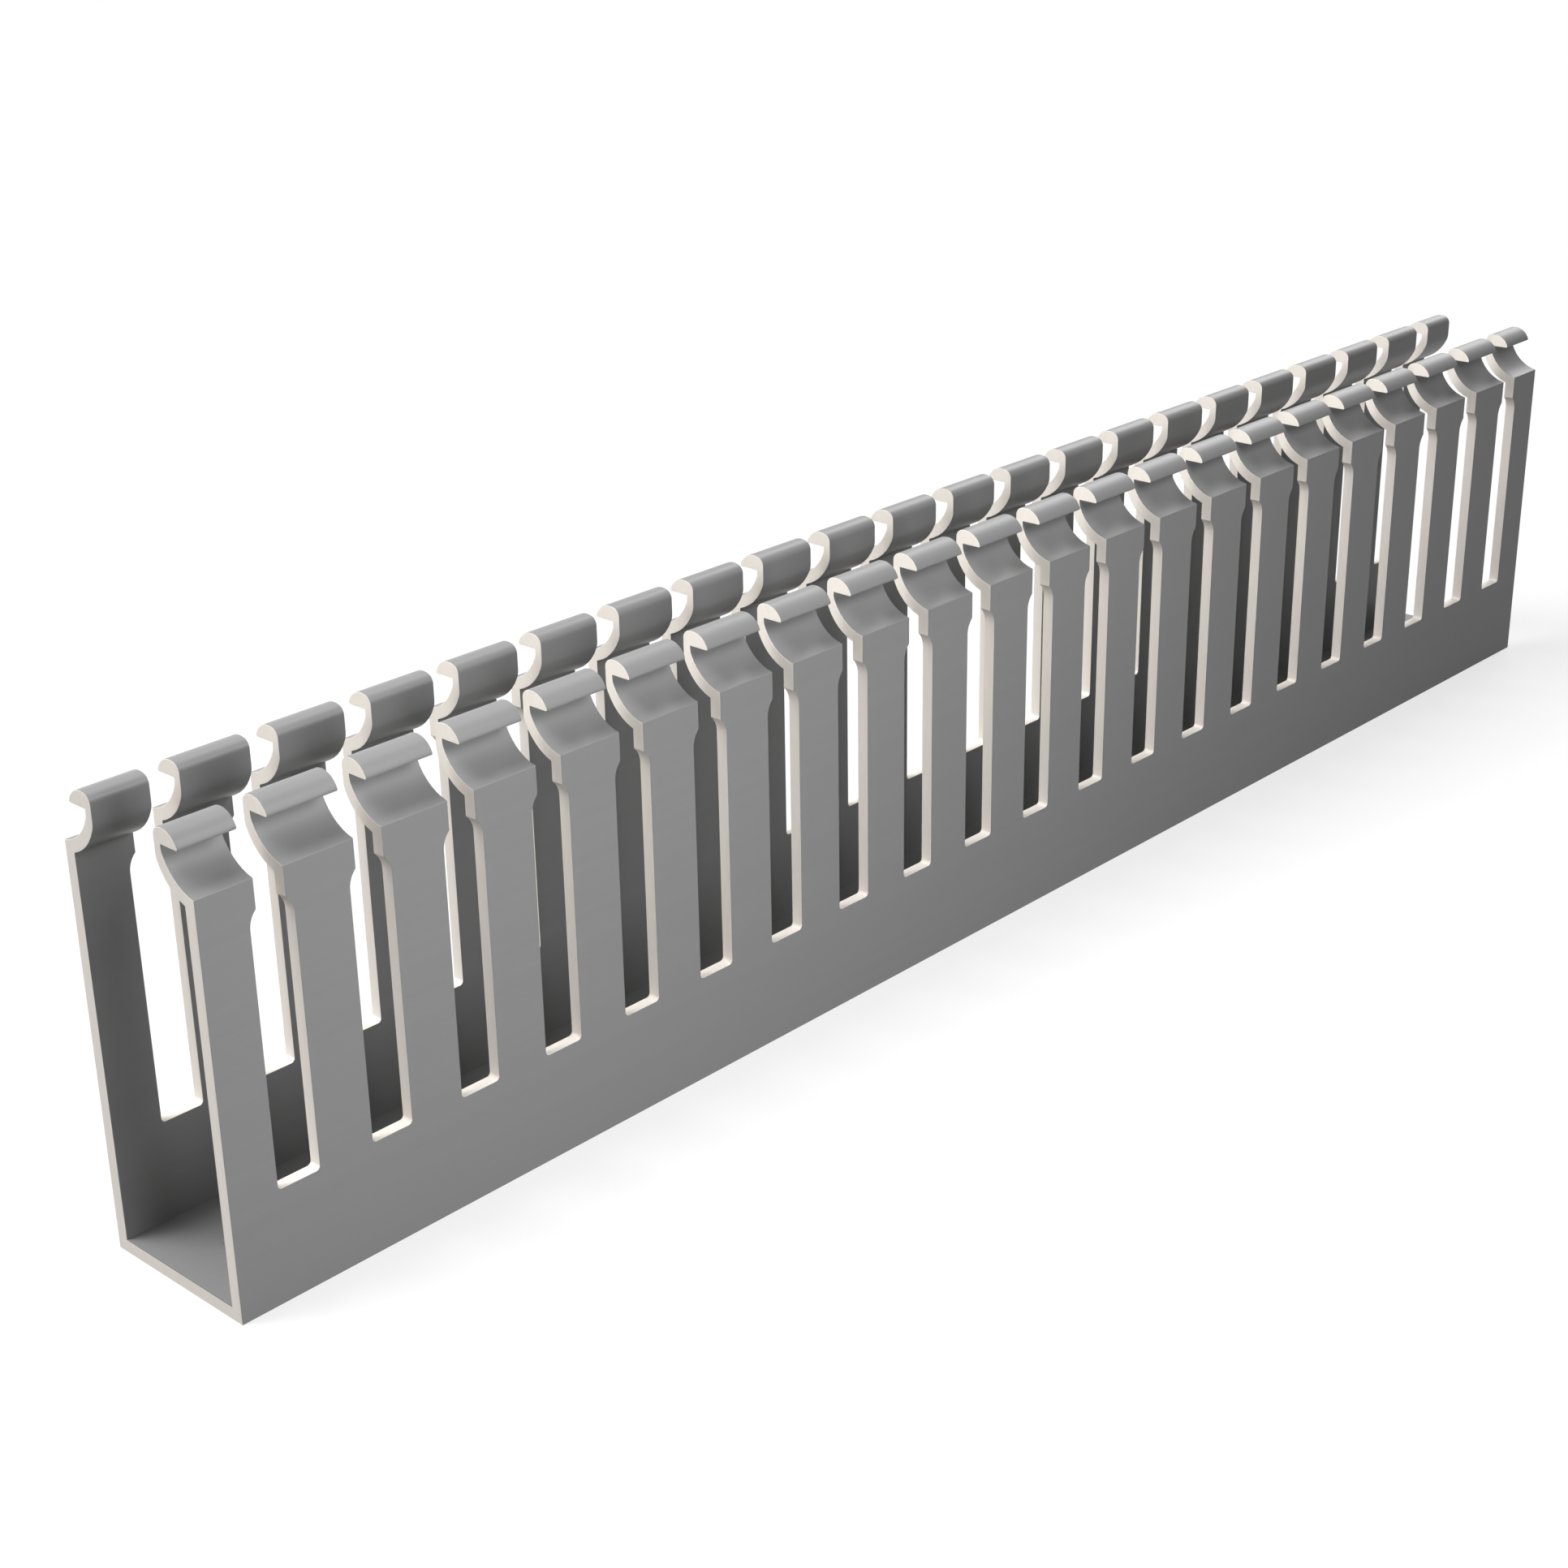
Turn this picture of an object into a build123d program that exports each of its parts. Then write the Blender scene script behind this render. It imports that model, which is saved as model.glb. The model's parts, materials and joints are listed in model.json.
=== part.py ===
from build123d import *
import math
import os

# Base of a slotted wire duct, without its cover: one extruded and punched channel.
#
# Millimetres. X runs along the duct, Y across it and Z up. The origin is the middle of the
# underside. Both walls are alike, so the section is drawn for one side and mirrored.

# Channel
duct_length = 267.7
duct_width = 22.2            # over the outer faces of the two walls
wall_thickness = 1.6
floor_thickness = 1.6

# Hook along the top of each wall, which the cover is pressed over.
# Depths are measured inwards from the wall's outer face.
ledge_height = 48.95         # underside of the duct to the outer corner where the groove starts
groove_depth = 4.65
groove_height = 4.65         # ledge corner to the underside of the barb
groove_rise = 4.0            # ledge corner up to the foot of the groove's upright face
groove_radius = 6.0
groove_blend = 2.0           # where the groove turns upright
web_thickness = 1.1          # behind the groove, under the crown
barb_reach = 2.8             # how far the barb stands out over the groove
barb_lip = 0.3               # height of the barb's edge
barb_rounding = 0.2          # under the barb's edge
crown_shoulder = 1.37        # underside of the barb to the inner corner of the crown
crown_radius = 2.52
crown_rounding = 1.1         # of the crown's inner corner
root_drop = 1.08             # ledge corner down to the inner corner under the hook
root_height = 4.13           # inner corner under the hook up to the foot of the upright web
root_radius = 6.5
root_blend = 2.5             # where the hook's underside turns upright

# Wire slots, punched through both walls and open at the top through a narrower neck
slot_pitch = 12.5
slot_width = 5.4
slot_foot_height = 13.55     # underside of the duct to the foot of a slot
slot_foot_rounding = 0.5
slot_head_height = 43.5      # underside of the duct to the centre of the round slot head
neck_width = 3.6
least_end_land = 3.0         # least wall left between an end of the duct and a slot

# Screw holes along the middle of the floor
screw_hole_diameter = 5.0
screw_hole_pitch = 50.0

same_place = 0.001           # two coordinates closer than this are taken as equal

# Sizes that follow from those above
half_width = duct_width / 2
barb_underside = ledge_height + groove_height
web_inner_depth = groove_depth + web_thickness
root_corner_height = ledge_height - root_drop
top_clearance = 5.0          # how far the neck punch runs past the crown
punch_top = barb_underside + crown_shoulder + crown_radius + top_clearance
pattern_room = duct_length - 2 * least_end_land - slot_width
slot_count = math.floor(pattern_room / slot_pitch) + 1
screw_hole_count = math.floor(pattern_room / screw_hole_pitch) + 1


def at(depth, height):
    """A point of the section, by its depth from the wall's outer face and its height."""
    return (half_width - depth, height)


ledge_corner = at(0, ledge_height)
groove_foot = at(groove_depth, ledge_height + groove_rise)
groove_corner = at(groove_depth, barb_underside)
barb_tip = at(groove_depth - barb_reach, barb_underside)
barb_top = at(groove_depth - barb_reach, barb_underside + barb_lip)
crown_corner = at(web_inner_depth, barb_underside + crown_shoulder)
web_foot = at(web_inner_depth, root_corner_height + root_height)
root_corner = at(wall_thickness, root_corner_height)

with BuildPart() as duct_base:
    # The extruded section, one hooked side mirrored to the other
    with BuildSketch(Plane.YZ) as section:
        with BuildLine():
            Polyline((0, 0), at(0, 0), ledge_corner)
            RadiusArc(ledge_corner, groove_foot, groove_radius)
            Polyline(groove_foot, groove_corner, barb_tip, barb_top)
            RadiusArc(barb_top, crown_corner, -crown_radius)
            Line(crown_corner, web_foot)
            RadiusArc(web_foot, root_corner, -root_radius)
            Polyline(root_corner, at(wall_thickness, floor_thickness), (0, floor_thickness))
            mirror(about=Plane.YZ)
        make_face()
        for corner, rounding in (
            (groove_foot, groove_blend),
            (barb_tip, barb_rounding),
            (crown_corner, crown_rounding),
            (web_foot, root_blend),
        ):
            on_both_sides = section.vertices().filter_by(
                lambda v: math.dist((abs(v.X), v.Y), corner) < same_place
            )
            fillet(on_both_sides, rounding)
    extrude(amount=duct_length / 2, both=True)

    # The wire slots of both walls, punched straight across
    with BuildSketch(Plane.XZ) as slots:
        with GridLocations(slot_pitch, 0, slot_count, 1):
            with Locations((0, slot_foot_height)):
                Rectangle(slot_width, slot_head_height - slot_foot_height, align=(Align.CENTER, Align.MIN))
        fillet(slots.vertices().group_by(Axis.Y)[0], slot_foot_rounding)
        with GridLocations(slot_pitch, 0, slot_count, 1):
            with Locations((0, slot_head_height)):
                Circle(slot_width / 2)
                Rectangle(neck_width, punch_top - slot_head_height, align=(Align.CENTER, Align.MIN))
    extrude(amount=duct_width, both=True, mode=Mode.SUBTRACT)

    # The screw holes in the floor
    with Locations((0, 0, floor_thickness)):
        with GridLocations(screw_hole_pitch, 0, screw_hole_count, 1):
            Hole(screw_hole_diameter / 2, depth=floor_thickness)

duct_base.part.label = "duct_base"

os.makedirs("parts", exist_ok=True)
export_step(duct_base.part, "parts/duct_base.step")
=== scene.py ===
"""Looks of the slotted wire duct: grey extruded skin, cream where it was sawn and punched."""
import json
import math

import bmesh
import bpy
from mathutils import Matrix, Vector

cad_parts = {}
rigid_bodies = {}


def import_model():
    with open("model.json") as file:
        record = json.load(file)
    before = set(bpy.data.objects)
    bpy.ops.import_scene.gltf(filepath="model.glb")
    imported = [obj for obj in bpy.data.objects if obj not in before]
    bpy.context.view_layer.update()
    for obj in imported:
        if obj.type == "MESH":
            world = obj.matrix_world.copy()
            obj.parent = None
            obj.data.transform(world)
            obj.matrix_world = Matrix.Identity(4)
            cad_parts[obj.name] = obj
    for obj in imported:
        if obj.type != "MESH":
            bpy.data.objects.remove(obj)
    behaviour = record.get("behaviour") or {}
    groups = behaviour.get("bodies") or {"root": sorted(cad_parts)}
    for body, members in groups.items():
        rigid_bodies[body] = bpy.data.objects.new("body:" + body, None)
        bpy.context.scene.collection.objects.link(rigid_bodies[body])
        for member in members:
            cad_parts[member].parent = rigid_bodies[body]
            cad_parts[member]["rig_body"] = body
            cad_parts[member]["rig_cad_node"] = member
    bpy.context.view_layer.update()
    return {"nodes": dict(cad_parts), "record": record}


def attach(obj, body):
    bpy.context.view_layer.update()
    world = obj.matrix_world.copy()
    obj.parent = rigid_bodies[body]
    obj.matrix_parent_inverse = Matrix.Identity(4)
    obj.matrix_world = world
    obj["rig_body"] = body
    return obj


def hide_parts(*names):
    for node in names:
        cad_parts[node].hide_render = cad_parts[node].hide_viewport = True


MM = 0.001

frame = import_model()

# Places on the duct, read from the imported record, whose boxes of openings stop just short of the solid
OPENINGS = {opening["name"]: opening["box_m"] for opening in frame["record"]["physics"]["openings"]}
MOUNTS = {mount["name"]: mount for mount in frame["record"]["mounts"]}
OPENING_CLEARANCE = 0.1 * MM
SLOT_FOOT_HEIGHT = OPENINGS["front_slot_1"][0][2] - OPENING_CLEARANCE
CHANNEL_HALF_WIDTH = OPENINGS["wire_channel"][1][1] + OPENING_CLEARANCE
FLOOR_THICKNESS = MOUNTS["inner_screw_holes"]["pos_m"][2]

# How the faces that the saw and the punch made are told from the skin
ALONG_DUCT = 0.02              # the skin's normals have no part along the duct, up to this
LEVEL_FACE = 0.9               # a normal's upward part, above this for a level face
UPRIGHT_FACE = 0.1             # and below this for an upright one
HEIGHT_TOLERANCE = 0.05 * MM

# Edges
MERGE_DISTANCE = 0.001 * MM
FLAT_ANGLE = math.radians(0.3)
SHARP_ANGLE = math.radians(18)
EDGE_ROUNDING = 0.08 * MM
EDGE_SEGMENTS = 2

# Plastic
PLASTIC_IOR = 1.5
SKIN_DARK = (0.188, 0.188, 0.188, 1)
SKIN_PALE = (0.224, 0.224, 0.224, 1)
CREAM_DARK = (0.658, 0.618, 0.566, 1)
CREAM_PALE = (0.820, 0.772, 0.711, 1)

# Floor and backdrop
WHITE = (1, 1, 1, 1)
FLOOR_SIZE = 6.0
FLOOR_PAINT = (0.9, 0.9, 0.9, 1)
FLOOR_BOUNCE = (0.05, 0.05, 0.05, 1)    # what the floor throws back at the duct
FLOOR_WHITENESS = 0.70         # how much of the floor shows as plain white, which keeps the shadow light
SHADOW_REACH = 0.15            # in metres from the duct's middle, past which the floor turns plain white
BACKDROP_START = 0.4           # and where it is all plain white

# Lamps, in mm
DUCT_MIDDLE = (0, 0, 28)
NEAR_FRONT = (-80, -11, 30)    # on the outside of the front wall
NEAR_TOP = (-112, 0, 55)       # over the first fingers
LAMP_DISTANCE = 1400           # from the duct's middle to the large lamps
LARGE_LAMP = 800
FAR_END_LAMP = 300
FRONT_BOX = 110
TOP_BOX = 60
TOP_BOX_SPREAD = 110           # degrees

# Camera, measured from the photo
CAMERA_PLACE = Vector((-260.18, -207.58, 157.13)) * MM
CAMERA_AZIMUTH = 43.087        # degrees from +X towards +Y
CAMERA_ELEVATION = -23.168
CAMERA_ROLL = -0.964
CAMERA_LENS = 59.65            # mm, on the sensor below
CAMERA_SENSOR = 36.0
CAMERA_NEAREST = 0.01          # metres
CAMERA_FARTHEST = 20.0


def deselect_all():
    """Operators act on all that is selected, so each piece starts from nothing selected."""
    bpy.ops.object.select_all(action="DESELECT")


def pick(piece):
    """Selects one piece alone and makes it active."""
    deselect_all()
    piece.select_set(True)
    bpy.context.view_layer.objects.active = piece


class Channel:
    """A socket in a finish's node tree. Sums and products of channels add Math nodes."""

    def __init__(self, finish, socket):
        self.finish = finish
        self.socket = socket

    def math(self, operation, other):
        return self.finish.node("ShaderNodeMath", {"operation": operation}, self, other)

    def __add__(self, other):
        return self.math("ADD", other)

    def __mul__(self, other):
        return self.math("MULTIPLY", other)

    __radd__ = __add__
    __rmul__ = __mul__


class Finish:
    """A material and the nodes that make it."""

    def __init__(self, name):
        self.material = bpy.data.materials.new(name)
        self.material.use_nodes = True
        self.tree = self.material.node_tree
        self.tree.nodes.clear()
        self.output = self.tree.nodes.new("ShaderNodeOutputMaterial")

    def fill(self, socket, value):
        """Links a channel to the socket, or sets the socket to a plain value."""
        if isinstance(value, Channel):
            self.tree.links.new(value.socket, socket)
        else:
            socket.default_value = value

    def node(self, kind, settings=None, *values, output=0, **named):
        """Adds a node, sets it up, fills its sockets in order or by name, and gives one output."""
        node = self.tree.nodes.new(kind)
        for setting, value in (settings or {}).items():
            setattr(node, setting, value)
        for place, value in enumerate(values):
            self.fill(node.inputs[place], value)
        for name, value in named.items():
            self.fill(node.inputs[name.replace("_", " ")], value)
        return Channel(self, node.outputs[output])

    def mix(self, share, first, second):
        """A colour that goes from the first to the second as share goes from 0 to 1."""
        node = self.tree.nodes.new("ShaderNodeMix")
        node.data_type = "RGBA"
        factor, colour_a, colour_b = node.inputs[0], node.inputs[6], node.inputs[7]
        self.fill(factor, share)
        self.fill(colour_a, first)
        self.fill(colour_b, second)
        return Channel(self, node.outputs[2])

    def place(self, stretch):
        """The point of the duct with each axis multiplied. A pattern is longer along a small one."""
        point = self.node("ShaderNodeTexCoord", output="Object")
        return self.node("ShaderNodeMapping", None, point, Scale=stretch)

    def noise(self, stretch, scale, detail=2.0, roughness=0.5):
        """Soft noise from 0 to 1 with this many patches in a metre, before the stretch."""
        return self.node("ShaderNodeTexNoise", None, self.place(stretch),
                         Scale=scale, Detail=detail, Roughness=roughness)

    def surface(self, shader):
        self.tree.links.new(shader.socket, self.output.inputs["Surface"])
        return self.material


def extruded_skin():
    """Satin grey plastic with the faint lines that the die leaves along the duct."""
    finish = Finish("extruded_skin")
    die_lines = finish.noise((0.006, 1.0, 1.0), 1400.0, detail=3.0, roughness=0.6)
    broad_lines = finish.noise((0.01, 1.0, 1.0), 220.0)
    clouding = finish.noise((0.4, 1.0, 1.0), 45.0, detail=3.0)
    grain = finish.noise((1.0, 1.0, 1.0), 5200.0)
    tone = 0.5 * die_lines + 0.3 * broad_lines + 0.2 * clouding
    colour = finish.mix(tone, SKIN_DARK, SKIN_PALE)
    gloss = 0.30 + 0.10 * die_lines + 0.06 * clouding
    height = 0.6 * die_lines + 0.4 * grain
    relief = finish.node("ShaderNodeBump", None, Strength=0.15, Distance=0.02 * MM, Height=height)
    shader = finish.node("ShaderNodeBsdfPrincipled", None, Base_Color=colour, Roughness=gloss,
                         Normal=relief, IOR=PLASTIC_IOR, Specular_IOR_Level=0.25)
    return finish.surface(shader)


def cut_face():
    """Cream plastic inside the skin, where the saw and the punch cut it, with their faint streaks."""
    finish = Finish("cut_face")
    streaks = finish.noise((1.0, 1.0, 0.06), 2400.0, detail=3.0, roughness=0.6)
    clouding = finish.noise((1.0, 1.0, 1.0), 240.0)
    grain = finish.noise((1.0, 1.0, 0.7), 4800.0, detail=3.0, roughness=0.7)
    tone = 0.35 * streaks + 0.2 * clouding + 0.45 * grain
    colour = finish.mix(tone, CREAM_DARK, CREAM_PALE)
    gloss = 0.46 + 0.12 * grain
    height = 0.4 * streaks + 0.6 * grain
    relief = finish.node("ShaderNodeBump", None, Strength=0.35, Distance=0.03 * MM, Height=height)
    shader = finish.node("ShaderNodeBsdfPrincipled", None, Base_Color=colour, Roughness=gloss,
                         Normal=relief, IOR=PLASTIC_IOR, Specular_IOR_Level=0.5)
    return finish.surface(shader)


def is_cut(face):
    """True where the saw or the punch made the face, and false on the extruded skin."""
    normal, middle = face.normal, face.center
    along = abs(normal.x) > ALONG_DUCT
    slot_foot = normal.z > LEVEL_FACE and abs(middle.z - SLOT_FOOT_HEIGHT) < HEIGHT_TOLERANCE
    in_floor = middle.z < FLOOR_THICKNESS and abs(middle.y) < CHANNEL_HALF_WIDTH
    hole_wall = abs(normal.z) < UPRIGHT_FACE and in_floor
    return along or slot_foot or hole_wall


def weigh_outer_edges(piece):
    """Marks the sharp edges that stand out for the bevel. The inner corners stay crisp, as in the photo."""
    mesh = bmesh.new()
    mesh.from_mesh(piece.data)
    weight = mesh.edges.layers.float.new("bevel_weight_edge")
    for edge in mesh.edges:
        if edge.is_convex and edge.calc_face_angle() > SHARP_ANGLE:
            edge[weight] = 1.0
    mesh.to_mesh(piece.data)
    mesh.free()


def finished_duct():
    """The duct with its faces made whole, its edges broken by a hair and its two finishes."""
    node = frame["nodes"]["duct_base"]
    duct = node.copy()
    duct.data = node.data.copy()
    duct.name = "slotted_duct"
    duct.parent = None
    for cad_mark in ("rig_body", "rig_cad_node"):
        del duct[cad_mark]
    bpy.context.scene.collection.objects.link(duct)

    pick(duct)
    bpy.ops.object.mode_set(mode="EDIT")
    bpy.ops.mesh.select_all(action="SELECT")
    bpy.ops.mesh.customdata_custom_splitnormals_clear()
    bpy.ops.mesh.remove_doubles(threshold=MERGE_DISTANCE)
    bpy.ops.mesh.dissolve_limited(angle_limit=FLAT_ANGLE)
    bpy.ops.object.mode_set(mode="OBJECT")

    duct.data.materials.clear()
    duct.data.materials.append(extruded_skin())
    duct.data.materials.append(cut_face())
    for face in duct.data.polygons:
        face.material_index = 1 if is_cut(face) else 0

    weigh_outer_edges(duct)
    edges = duct.modifiers.new("broken_edges", "BEVEL")
    edges.width = EDGE_ROUNDING
    edges.segments = EDGE_SEGMENTS
    edges.limit_method = "WEIGHT"
    edges.use_clamp_overlap = False
    edges.harden_normals = True
    bpy.ops.object.shade_smooth_by_angle(angle=SHARP_ANGLE)
    bpy.ops.object.modifier_apply(modifier=edges.name)

    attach(duct, "root")
    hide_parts("duct_base")


def floor_white():
    """Plain white to the eye and in reflections, where it keeps a soft shadow, and dim to other light."""
    finish = Finish("floor_white")
    path = finish.tree.nodes.new("ShaderNodeLightPath")
    to_eye = Channel(finish, path.outputs["Is Camera Ray"])
    in_gloss = Channel(finish, path.outputs["Is Glossy Ray"])
    through = Channel(finish, path.outputs["Is Transmission Ray"])
    shown = to_eye.math("MAXIMUM", in_gloss.math("MAXIMUM", through))
    bounce = finish.node("ShaderNodeBsdfDiffuse", None, FLOOR_BOUNCE)
    paint = finish.node("ShaderNodeBsdfDiffuse", None, FLOOR_PAINT)
    white = finish.node("ShaderNodeEmission", None, WHITE, 1.0)
    spot = finish.node("ShaderNodeTexCoord", output="Object")
    from_duct = finish.node("ShaderNodeVectorMath", {"operation": "LENGTH"}, spot, output=1)
    whiteness = finish.node("ShaderNodeMapRange", None, from_duct,
                            SHADOW_REACH, BACKDROP_START, FLOOR_WHITENESS, 1.0)
    lit_white = finish.node("ShaderNodeMixShader", None, whiteness, paint, white)
    shader = finish.node("ShaderNodeMixShader", None, shown, bounce, lit_white)
    return finish.surface(shader)


def pale_floor():
    """A plain floor under the duct."""
    deselect_all()
    bpy.ops.mesh.primitive_plane_add(size=FLOOR_SIZE, location=(0, 0, 0))
    floor = bpy.context.object
    floor.name = "floor"
    floor.data.materials.append(floor_white())


def white_background():
    """White where the eye, a gloss or a clear thing looks past the floor. It sheds no plain light."""
    world = bpy.data.worlds.new("studio")
    bpy.context.scene.world = world
    world.use_nodes = True
    nodes, links = world.node_tree.nodes, world.node_tree.links
    nodes.clear()
    path = nodes.new("ShaderNodeLightPath")
    seen = path.outputs["Is Camera Ray"]
    for name in ("Is Glossy Ray", "Is Transmission Ray"):
        either = nodes.new("ShaderNodeMath")
        either.operation = "MAXIMUM"
        links.new(seen, either.inputs[0])
        links.new(path.outputs[name], either.inputs[1])
        seen = either.outputs[0]
    backdrop = nodes.new("ShaderNodeBackground")
    backdrop.inputs["Color"].default_value = WHITE
    links.new(seen, backdrop.inputs["Strength"])
    output = nodes.new("ShaderNodeOutputWorld")
    links.new(backdrop.outputs[0], output.inputs["Surface"])


def soft_lamp(name, place, aim, size, level, spread=180):
    """A round soft box. At the level of 1 it lights a white face at its aim, turned to it, to full white.

    A spread of less than 180 degrees keeps the light near the aim, as a grid on the box does.
    """
    place, aim = Vector(place) * MM, Vector(aim) * MM
    # A lamp with a small spread is brighter ahead for the same energy, so it gets this share of it
    half_spread = math.radians(spread) / 2
    energy_share = 1 - half_spread / math.tan(half_spread)
    lamp = bpy.data.lights.new(name, "AREA")
    lamp.shape = "DISK"
    lamp.size = size * MM
    lamp.spread = math.radians(spread)
    lamp.energy = level * (math.pi * (place - aim).length) ** 2 * energy_share
    light = bpy.data.objects.new(name, lamp)
    bpy.context.scene.collection.objects.link(light)
    light.location = place
    light.rotation_euler = (aim - place).to_track_quat("-Z", "Y").to_euler()
    light.visible_camera = False


def around(azimuth, elevation):
    """A large lamp's place round the middle of the duct, by its azimuth from +X towards +Y."""
    azimuth, elevation = math.radians(azimuth), math.radians(elevation)
    level = LAMP_DISTANCE * math.cos(elevation)
    height = DUCT_MIDDLE[2] + LAMP_DISTANCE * math.sin(elevation)
    return (level * math.cos(azimuth), level * math.sin(azimuth), height)


def studio_lamps():
    """Soft light from behind the duct and past its far end, and three soft boxes close to its near end."""
    soft_lamp("high_lamp", around(140, 60), DUCT_MIDDLE, LARGE_LAMP, 0.76)
    soft_lamp("middle_lamp", around(140, 35), DUCT_MIDDLE, LARGE_LAMP, 0.50)
    soft_lamp("near_lamp", around(160, 35), DUCT_MIDDLE, LARGE_LAMP, 0.20)
    soft_lamp("low_lamp", around(140, 15), DUCT_MIDDLE, LARGE_LAMP, 0.06)
    soft_lamp("far_lamp", around(20, 32), DUCT_MIDDLE, LARGE_LAMP, 0.34)
    soft_lamp("far_end_lamp", around(5, 8), DUCT_MIDDLE, FAR_END_LAMP, 0.25)
    soft_lamp("front_box", (-120, -160, 50), NEAR_FRONT, FRONT_BOX, 0.80)
    soft_lamp("front_top_box", (-20, -160, 165), NEAR_FRONT, FRONT_BOX, 0.59)
    soft_lamp("top_box", (-122, 16, 145), NEAR_TOP, TOP_BOX, 0.54, spread=TOP_BOX_SPREAD)


def photo_camera():
    """The camera of the photo, which looks down along the duct from its near end."""
    data = bpy.data.cameras.new("photo_camera")
    data.sensor_width = CAMERA_SENSOR
    data.lens = CAMERA_LENS
    data.clip_start = CAMERA_NEAREST
    data.clip_end = CAMERA_FARTHEST
    camera = bpy.data.objects.new("photo_camera", data)
    bpy.context.scene.collection.objects.link(camera)
    azimuth, elevation = math.radians(CAMERA_AZIMUTH), math.radians(CAMERA_ELEVATION)
    forward = Vector((math.cos(azimuth) * math.cos(elevation),
                      math.sin(azimuth) * math.cos(elevation),
                      math.sin(elevation)))
    upright = forward.to_track_quat("-Z", "Y").to_matrix()
    roll = Matrix.Rotation(math.radians(CAMERA_ROLL), 3, "Z")
    camera.matrix_world = Matrix.Translation(CAMERA_PLACE) @ (upright @ roll).to_4x4()
    bpy.context.scene.camera = camera


finished_duct()
pale_floor()
white_background()
studio_lamps()
photo_camera()

view_settings = bpy.context.scene.view_settings
view_settings.view_transform = "Standard"
